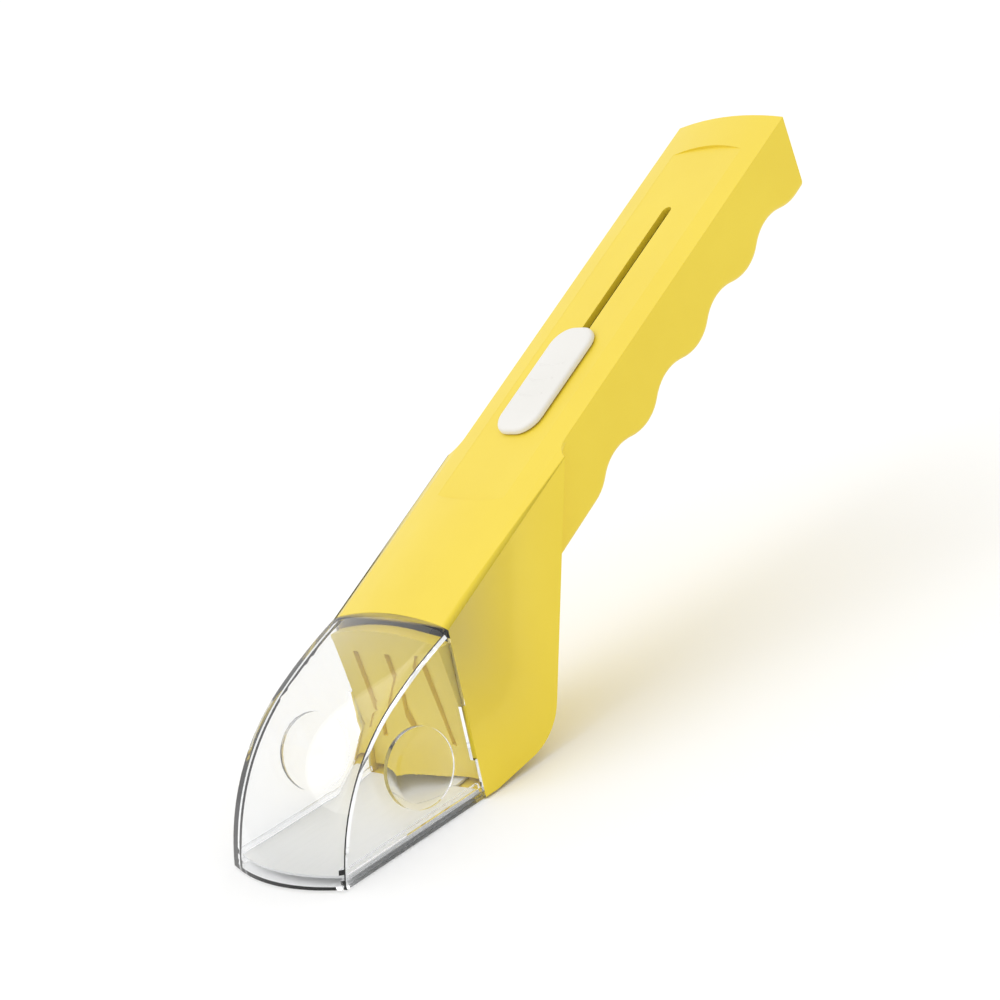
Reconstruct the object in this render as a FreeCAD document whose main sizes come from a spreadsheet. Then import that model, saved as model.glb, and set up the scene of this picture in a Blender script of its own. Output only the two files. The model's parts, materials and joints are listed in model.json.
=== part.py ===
"""Handheld insect catcher: a clear chamber on a yellow grip, closed by a thin sliding door.

The frame: +Z up, the mouth of the chamber in the plane Z = 0, +Y towards the handle, +X to the
side.  The origin is the middle of the sill, where the chamber's walls meet the head.
The handle frame has its origin at the top front edge of the head, its Y axis along the handle
and its Z axis out of the handle's top.
"""
import FreeCAD, Part
import math
import os

import Sketcher

DIMS = {
    # head and clear chamber
    "head_width": 44.8,
    "joint_height": 40.1,
    "joint_setback": 5.7,
    "mouth_length": 43.2,
    "mouth_bow": 3.8,
    "brow_back": 15.8,
    "brow_height": 31.9,
    "nose_radius": 53.0,
    "side_wall": 2.0,
    "visor_wall": 1.8,
    "ledge": 1.2,
    "ledge_top": 3.4,
    "notch_low": 9.4,
    "notch_high": 22.4,
    "notch_depth": 1.2,
    # round windows
    "window_radius": 9.4,
    "window_back": 13.2,
    "window_height": 14.5,
    "lens_dome": 0.9,
    "lens_inner_dome": 1.1,
    "lens_step": 1.2,
    # head shell
    "heel_back": 24.3,
    "heel_height": 3.0,
    "heel_radius": 15.5,
    "sill_front": 1.5,
    "sill_back": 4.0,
    "head_run": 52.2,
    "step_run": 5.0,
    # handle
    "handle_angle": 24.6,
    "handle_run": 164.4,
    "handle_width": 38.2,
    "grip_front": 17.4,
    "grip_rear": 16.0,
    "wave_start": 65.7,
    "wave_pitch": 25.3,
    "wave_depth": 3.3,
    "edge_round": 1.6,
    "shell_wall": 2.0,
    "cavity_depth": 10.0,
    # top cover
    "crown": 2.4,
    "shoulder": 0.8,
    "shoulder_inset": 2.9,
    "land_height": 1.7,
    "land_front": 38.0,
    "land_rear": 155.0,
    "land_width": 25.4,
    "land_bow": 1.6,
    "lip_width": 1.2,
    "lip_depth": 1.2,
    # door
    "door_level": 1.7,
    "door_thick": 0.6,
    "strip_width": 20.0,
    "strip_depth": 6.0,
    "rear_gap": 3.0,
    "strip_bend": 20.0,
    "guide_gap": 0.3,
    "guide_wall": 1.2,
    # vent plate
    "plate_front": 2.3,
    "plate_wall": 2.0,
    "plate_depth": 3.4,
    "plate_low": 3.0,
    "plate_high": 36.9,
    "plate_crown": 2.2,
    "vent_low": 11.0,
    "vent_high": 33.4,
    "vent_width": 2.3,
    "vent_pitch": 12.3,
    # slider
    "travel": 44.0,
    "slot_width": 3.0,
    "stem_front": 76.0,
    "stem_rear": 88.5,
    "button_front": 57.3,
    "button_length": 34.2,
    "button_width": 14.8,
    "button_corner": 5.8,
    "button_height": 2.1,
    "carriage_front": 58.0,
    "carriage_rear": 94.0,
    "carriage_width": 32.6,
    "carriage_top": 2.4,
    "carriage_wall": 1.8,
    "clamp_front": 61.0,
    "clamp_rear": 75.0,
    "clamp_width": 18.0,
    "clamp_wall": 1.6,
    "track_width": 2.8,
    "track_front": 57.6,
    "track_rear": 146.0,
    "leaf_thick": 0.3,
    "leaf_width": 8.0,
    "leaf_span": 13.0,
    # fasteners
    "boss_radius": 2.6,
    "screw_radius": 1.1,
    "screw_head_radius": 2.3,
    "screw_head": 1.5,
    "screw_sink": 2.4,
    "front_boss": 54.2,
    "front_boss_side": 13.9,
    "rear_boss": 151.0,
    "rear_boss_side": 12.6,
    "clamp_screw_side": 6.0,
    "clamp_screw_radius": 0.9,
    # fits
    "fit": 0.3,
    "snug": 0.05,
}


doc = FreeCAD.newDocument("insect_catcher")


class Notes:
    """Worked-out sizes, each in a named cell of the sheet that is open at the time."""

    sheet = None
    count = 0
    known = {}

    @classmethod
    def open(cls, name):
        cls.sheet = doc.addObject("Spreadsheet::Sheet", name)
        cls.count = 0

    @classmethod
    def keep(cls, text):
        """Writes a long expression in a cell and returns the cell's name."""
        if text not in cls.known:
            cls.count += 1
            alias = "size_%d" % cls.count
            cell = "A%d" % cls.count
            cls.sheet.set(cell, "=" + text.replace(cls.sheet.Name + ".", ""))
            cls.sheet.setAlias(cell, alias)
            cls.known[text] = cls.sheet.Name + "." + alias
        return cls.known[text]


class Size:
    """A length or ratio that carries its present value and its expression on the sheets."""

    def __init__(self, value, text):
        self.value = value
        self.text = text if len(text) < 90 else Notes.keep(text)

    @staticmethod
    def of(other):
        if isinstance(other, Size):
            return other
        return Size(float(other), "(%.9g)" % other)

    def join(self, other, sign, value):
        return Size(value, "(%s %s %s)" % (self.text, sign, Size.of(other).text))

    def __add__(self, other):
        return self.join(other, "+", self.value + Size.of(other).value)

    def __sub__(self, other):
        return self.join(other, "-", self.value - Size.of(other).value)

    def __mul__(self, other):
        return self.join(other, "*", self.value * Size.of(other).value)

    def __truediv__(self, other):
        return self.join(other, "/", self.value / Size.of(other).value)

    def __radd__(self, other):
        return Size.of(other) + self

    def __rsub__(self, other):
        return Size.of(other) - self

    def __rmul__(self, other):
        return Size.of(other) * self

    def __neg__(self):
        return Size(-self.value, "(-1 * %s)" % self.text)


def root(size):
    return Size(math.sqrt(size.value), "sqrt(%s)" % size.text)


def cosine(angle):
    return Size(math.cos(math.radians(angle.value)), "cos(%s)" % angle.text)


def sine(angle):
    return Size(math.sin(math.radians(angle.value)), "sin(%s)" % angle.text)


# ---------------------------------------------------------------- plane geometry on Size pairs


def add(p, q, scale=1.0):
    return (p[0] + q[0] * scale, p[1] + q[1] * scale)


def unit(p, q):
    dx = q[0] - p[0]
    dy = q[1] - p[1]
    span = root(dx * dx + dy * dy)
    return (dx / span, dy / span)


def left_of(direction):
    return (-direction[1], direction[0])


def dot(p, q):
    return p[0] * q[0] + p[1] * q[1]


def cross(p, q):
    return p[0] * q[1] - p[1] * q[0]


def meet(p, along_p, q, along_q):
    """Where the line from p along along_p crosses the line from q along along_q."""
    reach = cross((q[0] - p[0], q[1] - p[1]), along_q) / cross(along_p, along_q)
    return add(p, along_p, reach)


def beside(points, offset):
    """An open polyline moved sideways by offset, to its left."""
    ways = [unit(points[i], points[i + 1]) for i in range(len(points) - 1)]
    moved = [add(points[0], left_of(ways[0]), offset)]
    for i in range(1, len(points) - 1):
        a = left_of(ways[i - 1])
        b = left_of(ways[i])
        share = offset / (1.0 + dot(a, b))
        moved.append(add(add(points[i], a, share), b, share))
    moved.append(add(points[-1], left_of(ways[-1]), offset))
    return moved


def corners(points, radii):
    """Line and arc segments through points, with each corner rounded by its radius or sharp."""
    out = []
    for i, point in enumerate(points):
        if radii[i] is None:
            out.append((point, None, 0))
            continue
        before = unit(points[i - 1], point)
        after = unit(point, points[(i + 1) % len(points)])
        turn = cross(before, after)
        radius = Size.of(radii[i])
        side = 1 if turn.value > 0 else -1
        reach = radius * (1.0 - dot(before, after)) / (turn * side)
        out.append((add(point, before, -reach), radius, side))
        out.append((add(point, after, reach), None, 0))
    return out


# ---------------------------------------------------------------- document helpers


def make_sheet(doc):
    sheet = doc.addObject("Spreadsheet::Sheet", "dims")
    for row, (name, value) in enumerate(DIMS.items(), start=1):
        sheet.set("A%d" % row, name)
        sheet.set("B%d" % row, repr(float(value)))
        sheet.setAlias("B%d" % row, name)
    doc.recompute()
    return sheet


def arc_between(start, end, radius, side):
    """An arc from start to end that turns left (side 1) or right (side -1)."""
    a = FreeCAD.Vector(start[0].value, start[1].value, 0)
    b = FreeCAD.Vector(end[0].value, end[1].value, 0)
    chord = b - a
    half = chord.Length / 2.0
    rise = math.sqrt(max(radius.value**2 - half**2, 0.0))
    normal = FreeCAD.Vector(-chord.y, chord.x, 0).normalize()
    centre = (a + b) * 0.5 + normal * (rise * side)
    first, last = (a, b) if side > 0 else (b, a)
    start_angle = math.atan2(first.y - centre.y, first.x - centre.x)
    end_angle = math.atan2(last.y - centre.y, last.x - centre.x)
    circle = Part.Circle(centre, FreeCAD.Vector(0, 0, 1), radius.value)
    return Part.ArcOfCircle(circle, start_angle, end_angle)


def bind(sketch, kind, geo, pos, size):
    index = sketch.addConstraint(Sketcher.Constraint(kind, geo, pos, size.value))
    sketch.setExpression("Constraints[%d]" % index, size.text)


def draw(sketch, loop, closed=True):
    """Adds one outline: loop is a list of (point, radius or None, side), arcs to the next point."""
    count = len(loop)
    starts = []
    for i in range(count if closed else count - 1):
        point, radius, side = loop[i]
        following = loop[(i + 1) % count][0]
        if radius is None:
            a = FreeCAD.Vector(point[0].value, point[1].value, 0)
            b = FreeCAD.Vector(following[0].value, following[1].value, 0)
            geo = sketch.addGeometry(Part.LineSegment(a, b), False)
            starts.append((geo, 1, 2))
        else:
            geo = sketch.addGeometry(arc_between(point, following, radius, side), False)
            starts.append((geo, 1, 2) if side > 0 else (geo, 2, 1))
    for i, (geo, first, last) in enumerate(starts):
        point, radius, side = loop[i]
        if i + 1 < len(starts):
            sketch.addConstraint(
                Sketcher.Constraint("Coincident", geo, last, starts[i + 1][0], starts[i + 1][1])
            )
        elif closed:
            sketch.addConstraint(
                Sketcher.Constraint("Coincident", geo, last, starts[0][0], starts[0][1])
            )
        else:
            end = loop[-1][0]
            bind(sketch, "DistanceX", geo, last, end[0])
            bind(sketch, "DistanceY", geo, last, end[1])
    for i, (geo, first, last) in enumerate(starts):
        point, radius, side = loop[i]
        bind(sketch, "DistanceX", geo, first, point[0])
        bind(sketch, "DistanceY", geo, first, point[1])
        if radius is not None:
            index = sketch.addConstraint(Sketcher.Constraint("Radius", geo, radius.value))
            sketch.setExpression("Constraints[%d]" % index, radius.text)


def sharp(points):
    return [(point, None, 0) for point in points]


def box_loop(x0, y0, x1, y1):
    x0, y0, x1, y1 = (Size.of(value) for value in (x0, y0, x1, y1))
    return sharp([(x0, y0), (x1, y0), (x1, y1), (x0, y1)])


def round_box(x0, y0, x1, y1, radius):
    points = [point for point, _, _ in box_loop(x0, y0, x1, y1)]
    return corners(points, [radius] * 4)


def ring(x, y, radius):
    """A circle given by its centre and radius."""
    return (Size.of(x), Size.of(y), Size.of(radius))


def add_ring(sketch, circle):
    x, y, radius = circle
    centre = FreeCAD.Vector(x.value, y.value, 0)
    shape = Part.Circle(centre, FreeCAD.Vector(0, 0, 1), radius.value)
    geo = sketch.addGeometry(shape, False)
    bind(sketch, "DistanceX", geo, 3, x)
    bind(sketch, "DistanceY", geo, 3, y)
    index = sketch.addConstraint(Sketcher.Constraint("Radius", geo, radius.value))
    sketch.setExpression("Constraints[%d]" % index, radius.text)


def fill(sketch, loops):
    for loop in loops:
        if isinstance(loop, tuple):
            add_ring(sketch, loop)
        else:
            draw(sketch, loop)


class Maker:
    """Builds one PartDesign body."""

    def __init__(self, doc, name):
        self.doc = doc
        self.name = name
        Notes.open(name + "_sizes")
        self.body = doc.addObject("PartDesign::Body", name)
        self.body.Label = name

    def sketch(self, role, loops, lift=None):
        label = "%s_sketch_%d" % (self.name, len(self.body.Group))
        sketch = self.body.newObject("Sketcher::SketchObject", label)
        plane = [f for f in self.body.Origin.OriginFeatures if f.Role == role][0]
        sketch.AttachmentSupport = [(plane, "")]
        sketch.MapMode = "FlatFace"
        if lift is not None:
            sketch.setExpression("AttachmentOffset.Base.z", Size.of(lift).text)
        fill(sketch, loops)
        sketch.Visibility = False
        return sketch

    def feature(self, kind, sketch, length, both=False, flip=False):
        label = "%s_%s_%d" % (self.name, kind.lower(), len(self.body.Group))
        feature = self.body.newObject("PartDesign::" + kind, label)
        feature.Profile = sketch
        feature.Type = "Length"
        feature.Midplane = both
        feature.Reversed = flip
        feature.setExpression("Length", Size.of(length).text)
        return feature

    def pad(self, role, loops, length, lift=None, both=False, flip=False):
        return self.feature("Pad", self.sketch(role, loops, lift), length, both, flip)

    def pocket(self, role, loops, length, lift=None, both=False, flip=False):
        return self.feature("Pocket", self.sketch(role, loops, lift), length, both, flip)

    def revolve(self, loop):
        """Turns an outline on the XZ plane about the Z axis."""
        sketch = self.sketch("XZ_Plane", [loop])
        label = "%s_turn_%d" % (self.name, len(self.body.Group))
        feature = self.body.newObject("PartDesign::Revolution", label)
        feature.Profile = sketch
        feature.ReferenceAxis = (sketch, ["V_Axis"])
        feature.Angle = 360.0
        return feature

    def dress(self, kind, wanted, size):
        """A fillet or chamfer on every edge of the last feature that wanted() accepts."""
        self.doc.recompute()
        base = self.body.Tip
        names = []
        for i, edge in enumerate(base.Shape.Edges, start=1):
            if wanted(edge):
                names.append("Edge%d" % i)
        label = "%s_%s_%d" % (self.name, kind.lower(), len(self.body.Group))
        feature = self.body.newObject("PartDesign::" + kind, label)
        feature.Base = (base, names)
        prop = "Radius" if kind == "Fillet" else "Size"
        feature.setExpression(prop, Size.of(size).text)
        return feature

    def place(self, x, y, z, axis=(1, 0, 0), angle=0.0):
        """Puts the body in the part's frame; each of x, y, z and angle may be a Size."""
        self.body.Placement = FreeCAD.Placement(
            FreeCAD.Vector(0, 0, 0), FreeCAD.Rotation(FreeCAD.Vector(*axis), 1.0)
        )
        for letter, size in zip("xyz", (x, y, z)):
            self.body.setExpression("Placement.Base." + letter, Size.of(size).text)
        self.body.setExpression("Placement.Rotation.Angle", Size.of(angle).text)
        return self.body


sheet = make_sheet(doc)
Notes.open("layout")
D = {name: Size(value, "dims." + name) for name, value in DIMS.items()}

HALF_HEAD = D["head_width"] / 2
HALF_HANDLE = D["handle_width"] / 2
INNER_HEAD = HALF_HEAD - D["side_wall"]
INNER_HANDLE = HALF_HANDLE - D["shell_wall"]
HALF_DOOR = D["door_thick"] / 2
ZERO = Size.of(0)
H_WAY = (cosine(D["handle_angle"]), sine(D["handle_angle"]))
JOINT_FOOT = (ZERO, ZERO)
JOINT_TOP = (D["joint_setback"], D["joint_height"])
JOINT_WAY = unit(JOINT_FOOT, JOINT_TOP)
ABOVE = Size.of(8.0)


def along(run, rise):
    """A point in the YZ plane, given along the handle and out of its top."""
    return (
        JOINT_TOP[0] + run * H_WAY[0] - rise * H_WAY[1],
        JOINT_TOP[1] + run * H_WAY[1] + rise * H_WAY[0],
    )


HEEL = (D["heel_back"], D["heel_height"])
HEAD_TOP_REAR = along(D["head_run"], ZERO)
REAR_WAY = unit(HEEL, HEAD_TOP_REAR)
Y_WAY = (Size.of(1), ZERO)

# The door's path: along the mouth, round the heel, up the back wall and into the handle.
BACK_LINE = add(HEEL, left_of(REAR_WAY), D["rear_gap"])
STRIP_LINE = along(ZERO, -D["strip_depth"])
PATH_START = (ZERO, D["door_level"])
PATH_HEEL = meet(PATH_START, Y_WAY, BACK_LINE, REAR_WAY)
PATH_TURN = meet(BACK_LINE, REAR_WAY, STRIP_LINE, H_WAY)
HEEL_BEND = (PATH_HEEL[0] - D["door_thick"]) * REAR_WAY[1] / (1.0 - REAR_WAY[0])
HALF_TURN = (1.0 - dot(REAR_WAY, H_WAY)) / (-cross(REAR_WAY, H_WAY))
STRIP_ENTRY = dot((PATH_TURN[0] - STRIP_LINE[0], PATH_TURN[1] - STRIP_LINE[1]), H_WAY) \
    + D["strip_bend"] * HALF_TURN + D["door_thick"]
PATH_END = along(STRIP_ENTRY, -D["strip_depth"])


def in_handle_frame(maker, run=0, side=0, rise=0):
    """Places a body that was drawn in the handle frame."""
    run, side, rise = Size.of(run), Size.of(side), Size.of(rise)
    point = along(run, rise)
    return maker.place(side, point[0], point[1], (1, 0, 0), D["handle_angle"])


def guide_band(low, high, radii_sign=1):
    """The band between two offsets of the door's path in the head, as a closed outline."""
    path = [PATH_START, PATH_HEEL, PATH_TURN, PATH_END]
    lower = beside(path, low)
    upper = beside(path, high)
    outline = lower + upper[::-1]
    radii = [
        None,
        HEEL_BEND - low,
        D["strip_bend"] + low,
        None,
        None,
        D["strip_bend"] + high,
        HEEL_BEND - high,
        None,
    ]
    return corners(outline, radii)


# ---------------------------------------------------------------- clear chamber


def crown_section(half, shoulder, inset, crown, wall):
    """A crowned strip across the visor: outer face above, inner face below."""
    rise = crown - shoulder
    reach = half - inset
    radius = (reach * reach + rise * rise) / (rise * 2)
    inner_reach = half - D["side_wall"] - inset * 0.5
    inner_radius = radius - wall
    outer_low = shoulder
    drop = inner_reach * inner_reach / (inner_radius * 2)
    inner_low = crown - wall - drop
    floor = -wall
    return [
        ((-half, floor), None, 0),
        ((-half + D["side_wall"], floor), None, 0),
        ((-inner_reach, inner_low), inner_radius, -1),
        ((inner_reach, inner_low), None, 0),
        ((half - D["side_wall"], floor), None, 0),
        ((half, floor), None, 0),
        ((half, ZERO), None, 0),
        ((reach, outer_low), radius, 1),
        ((-reach, outer_low), None, 0),
        ((-half, ZERO), None, 0),
    ]


def free_sketch(name, loops, closed=True):
    sketch = doc.addObject("Sketcher::SketchObject", name)
    for loop in loops:
        draw(sketch, loop, closed)
    sketch.Visibility = False
    return sketch


def stand_across(sketch, point, way, extra=0.0):
    """Stands a sketch across the YZ plane at point, its X axis along X, its Y axis to the left of way."""
    angle = math.degrees(math.atan2(way[1].value, way[0].value))
    text = "atan2(%s; %s)" % (way[1].text, way[0].text)
    sketch.Placement = FreeCAD.Placement(
        FreeCAD.Vector(0, 0, 0), FreeCAD.Rotation(FreeCAD.Vector(1, 0, 0), 90.0 + angle)
    )
    sketch.setExpression("Placement.Base.y", point[0].text)
    sketch.setExpression("Placement.Base.z", point[1].text)
    sketch.setExpression("Placement.Rotation.Angle", "90 deg + %s" % text)
    return sketch


def arc_centre(start, end, radius, side):
    """The centre of the arc from start to end that turns left (side 1) or right (side -1)."""
    chord = unit(start, end)
    dx = (end[0] - start[0]) / 2
    dy = (end[1] - start[1]) / 2
    middle = (start[0] + dx, start[1] + dy)
    rise = root(radius * radius - dx * dx - dy * dy)
    return add(middle, left_of(chord), rise * side)


BROW = (-D["brow_back"], D["brow_height"])
NOSE = (-D["mouth_length"], ZERO)
NOSE_CENTRE = arc_centre(BROW, NOSE, D["nose_radius"], 1)
INWARD = unit(BROW, NOSE_CENTRE)
BROW_CHORD = (JOINT_TOP[0] - BROW[0], JOINT_TOP[1] - BROW[1])
BROW_RADIUS = dot(BROW_CHORD, BROW_CHORD) / (dot(BROW_CHORD, INWARD) * 2)
BROW_CENTRE = add(BROW, INWARD, BROW_RADIUS)


def visor():
    """The curved front of the chamber, crowned across, its crown growing towards the mouth."""
    Notes.open("visor_sizes")
    back_way = left_of(unit(BROW_CENTRE, JOINT_TOP))
    back_way = (-back_way[0], -back_way[1])
    before = add(JOINT_TOP, back_way, ABOVE)
    nose_way = left_of(unit(NOSE_CENTRE, NOSE))
    below = add(NOSE, nose_way, ABOVE)
    route = [
        (below, None, 0),
        (NOSE, D["nose_radius"], -1),
        (BROW, BROW_RADIUS, -1),
        (JOINT_TOP, None, 0),
        (before, None, 0),
    ]
    spine = free_sketch("visor_path", [route], closed=False)
    spine.Placement = FreeCAD.Placement(
        FreeCAD.Vector(0, 0, 0), FreeCAD.Rotation(FreeCAD.Vector(1, 1, 1), 120)
    )
    wall = D["visor_wall"]
    at_mouth = crown_section(
        HALF_HEAD, D["shoulder"], D["shoulder_inset"], D["mouth_bow"], wall
    )
    at_joint = crown_section(HALF_HEAD, D["shoulder"], D["shoulder_inset"], D["crown"], wall)
    low = stand_across(free_sketch("visor_at_mouth", [at_mouth]), below, (-nose_way[0], -nose_way[1]))
    high = stand_across(free_sketch("visor_at_joint", [at_joint]), before, back_way)
    sweep = doc.addObject("Part::Sweep", "visor")
    sweep.Sections = [low, high]
    sweep.Spine = (spine, ["Edge1", "Edge2", "Edge3", "Edge4"])
    sweep.Solid = True
    sweep.Frenet = False
    doc.recompute()
    return sweep


def chamber_walls():
    """The two side walls with the ledges that carry the door's edges."""
    maker = Maker(doc, "chamber_walls")
    profile = [
        (JOINT_FOOT, None, 0),
        (JOINT_TOP, BROW_RADIUS, 1),
        (BROW, D["nose_radius"], 1),
        (NOSE, None, 0),
    ]
    maker.pad("YZ_Plane", [profile], D["head_width"], both=True)
    inner = [
        (add(JOINT_FOOT, JOINT_WAY, -ABOVE), None, 0),
        (add(JOINT_TOP, JOINT_WAY, ABOVE * 2), None, 0),
        ((-D["mouth_length"] * 2, D["joint_height"] + ABOVE * 3), None, 0),
        ((-D["mouth_length"] * 2, -ABOVE), None, 0),
    ]
    maker.pocket("YZ_Plane", [inner], INNER_HEAD * 2, both=True)
    return maker.body


def door_ledges():
    """Two ledges on each side wall, above and below the door's edge."""
    maker = Maker(doc, "door_ledges")
    inside = INNER_HEAD - D["ledge"]
    front = -D["mouth_length"] + D["visor_wall"]
    slot_low = D["door_level"] - HALF_DOOR - D["guide_gap"]
    slot_high = D["door_level"] + HALF_DOOR + D["guide_gap"]
    loops = []
    for low, high in ((ZERO, slot_low), (slot_high, D["ledge_top"])):
        loops.append(box_loop(front, low, ZERO, high))
    maker.pad("YZ_Plane", loops, HALF_HEAD * 2 - D["side_wall"], both=True)
    clear = box_loop(-D["mouth_length"] * 2, -ABOVE, ABOVE, D["joint_height"])
    maker.pocket("YZ_Plane", [clear], inside * 2, both=True)
    return maker.body


def chamber():
    """The clear chamber: visor, side walls and ledges in one moulding, open below and behind."""
    joined = doc.addObject("Part::MultiFuse", "chamber_joined")
    joined.Shapes = [visor(), chamber_walls(), door_ledges()]
    limit = Maker(doc, "chamber_limit")
    region = sharp(
        [
            JOINT_FOOT,
            add(JOINT_TOP, JOINT_WAY, ABOVE),
            (-D["mouth_length"] * 1.5, D["joint_height"] + ABOVE * 2),
            (-D["mouth_length"] * 1.5, ZERO),
        ]
    )
    limit.pad("YZ_Plane", [region], D["head_width"] + 2, both=True)
    trimmed = doc.addObject("Part::Common", "chamber_trimmed")
    trimmed.Base = joined
    trimmed.Tool = limit.body
    windows = doc.addObject("Part::Cylinder", "window_bore")
    windows.setExpression("Radius", D["window_radius"].text)
    windows.setExpression("Height", (D["head_width"] + ABOVE).text)
    windows.Placement = FreeCAD.Placement(
        FreeCAD.Vector(0, 0, 0), FreeCAD.Rotation(FreeCAD.Vector(0, 1, 0), 90)
    )
    windows.setExpression("Placement.Base.x", (-(D["head_width"] + ABOVE) / 2).text)
    windows.setExpression("Placement.Base.y", (-D["window_back"]).text)
    windows.setExpression("Placement.Base.z", D["window_height"].text)
    notch = Maker(doc, "latch_notch")
    low = add(JOINT_FOOT, JOINT_WAY, D["notch_low"])
    high = add(JOINT_FOOT, JOINT_WAY, D["notch_high"])
    front = left_of(JOINT_WAY)
    cut = [
        add(low, front, -D["notch_depth"]),
        add(high, front, -D["notch_depth"]),
        add(high, front, D["notch_depth"]),
        add(low, front, D["notch_depth"]),
    ]
    notch.pad("YZ_Plane", [sharp(cut)], D["head_width"] + 2, both=True)
    cut_windows = doc.addObject("Part::Cut", "chamber_windows")
    cut_windows.Base = trimmed
    cut_windows.Tool = windows
    part = doc.addObject("Part::Cut", "chamber")
    part.Base = cut_windows
    part.Tool = notch.body
    doc.recompute()
    return part


def lens(name, side):
    """A lens in a side wall's round window, domed on both faces and stepped into the chamber."""
    maker = Maker(doc, name)
    radius = D["window_radius"] - D["snug"]
    rim = D["side_wall"] + D["lens_step"]
    dome = D["lens_dome"]
    hollow = D["lens_inner_dome"]
    curve = (radius * radius + dome * dome) / (dome * 2)
    inner_curve = (radius * radius + hollow * hollow) / (hollow * 2)
    maker.revolve(
        [
            ((ZERO, -hollow), inner_curve, 1),
            ((radius, ZERO), None, 0),
            ((radius, rim), curve, 1),
            ((ZERO, rim + dome), None, 0),
        ]
    )
    start = (INNER_HEAD - D["lens_step"]) * side
    return maker.place(start, -D["window_back"], D["window_height"], (0, 1, 0), 90.0 * side)


# ---------------------------------------------------------------- yellow shells


def wave_outline():
    """The handle's outline in the YZ plane, with the finger waves along its underside."""
    start = along(D["head_run"] * 0.5, -D["grip_front"])
    rear_top = along(D["handle_run"], ZERO)
    far = along(D["handle_run"], -D["grip_rear"])
    way = unit(start, far)
    rear_low = meet(rear_top, (ZERO, Size.of(-1)), start, way)
    pitch = D["wave_pitch"]
    depth = D["wave_depth"]
    radius = (pitch * pitch / 16 + depth * depth / 4) / depth

    def under(run, rise):
        reach = run - D["head_run"] * 0.5
        return add(add(start, way, reach), left_of(way), rise)

    loop = [(along(D["head_run"] * 0.5, ZERO), None, 0), (start, None, 0)]
    half = depth / 2
    for i in range(4):
        middle = D["wave_start"] + pitch * i
        if i == 0:
            loop.append((under(middle - pitch / 2, ZERO), radius, 1))
        loop.append((under(middle - pitch / 4, half), radius, -1))
        last = i == 3
        loop.append((under(middle + pitch / 4, half), radius, 1))
        if last:
            loop.append((under(middle + pitch / 2, ZERO), None, 0))
    loop.append((rear_low, None, 0))
    loop.append((rear_top, None, 0))
    return loop


def grip_body():
    """The head and handle shell, open on top, its inside shaped to guide the door."""
    maker = Maker(doc, "grip_body")
    head = corners(
        [JOINT_FOOT, (D["sill_back"], ZERO), HEEL, HEAD_TOP_REAR, JOINT_TOP],
        [None, None, D["heel_radius"], None, None],
    )
    maker.pad("YZ_Plane", [head], D["head_width"], both=True)
    maker.pad("YZ_Plane", [wave_outline()], D["handle_width"], both=True)
    reach = HALF_HANDLE.value

    def long_edge(edge):
        box = edge.BoundBox
        flat = abs(abs(box.XMin) - reach) < 1e-4 and abs(box.XMax - box.XMin) < 1e-4
        below = box.ZMax < along(D["handle_run"] * 0.98, -D["wave_depth"])[1].value
        behind = box.YMin > HEAD_TOP_REAR[0].value - 28.0 and edge.Length > 0.5
        steep = edge.Curve.TypeId == "Part::GeomLine" and box.ZLength > box.YLength
        return flat and below and behind and not steep and _under_handle(edge)

    maker.dress("Fillet", long_edge, D["edge_round"])
    low = D["guide_gap"] + HALF_DOOR
    path = beside([PATH_START, PATH_HEEL, PATH_TURN, PATH_END], -low)
    wide = [
        (-D["sill_front"] * 4, path[0][1]),
        path[1],
        add(path[2], REAR_WAY, ABOVE * 3),
        add(JOINT_TOP, left_of(H_WAY), ABOVE * 4),
        (-D["sill_front"] * 4, D["joint_height"] * 2),
    ]
    radii = [None, HEEL_BEND + low, None, None, None]
    maker.pocket("YZ_Plane", [corners(wide, radii)], INNER_HEAD * 2, both=True)
    ledge_end = STRIP_ENTRY + 1
    rear_inside = D["handle_run"] - D["cavity_depth"] * 0.5 - D["shell_wall"]
    narrow = [
        add(path[2], REAR_WAY, -ABOVE * 2),
        path[2],
        along(ledge_end, -(D["strip_depth"] + low)),
        along(ledge_end, -D["cavity_depth"]),
        along(rear_inside, -D["cavity_depth"]),
        along(rear_inside, ABOVE),
        along(ZERO, ABOVE),
    ]
    radii = [None, D["strip_bend"] - low, None, None, None, None, None]
    maker.pocket("YZ_Plane", [corners(narrow, radii)], INNER_HANDLE * 2, both=True)
    sill = box_loop(-D["sill_front"], ZERO, D["sill_back"] * 0.5, path[0][1])
    maker.pad("YZ_Plane", [sill], (INNER_HEAD - D["ledge"] - D["fit"]) * 2, both=True)
    return maker.body


def _under_handle(edge):
    """True for an edge on the handle's underside, away from its top face."""
    middle = edge.CenterOfMass
    rise = (
        -(middle.y - JOINT_TOP[0].value) * H_WAY[1].value
        + (middle.z - JOINT_TOP[1].value) * H_WAY[0].value
    )
    return rise < -D["grip_rear"].value * 0.6


def screw_spots():
    """Where the four cover screws stand: name, place along the handle and to the side."""
    spots = []
    for where, run, side in (
        ("front", D["front_boss"], D["front_boss_side"]),
        ("rear", D["rear_boss"], D["rear_boss_side"]),
    ):
        spots.append((where + "_left", run, -side))
        spots.append((where + "_right", run, side))
    return spots


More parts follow.
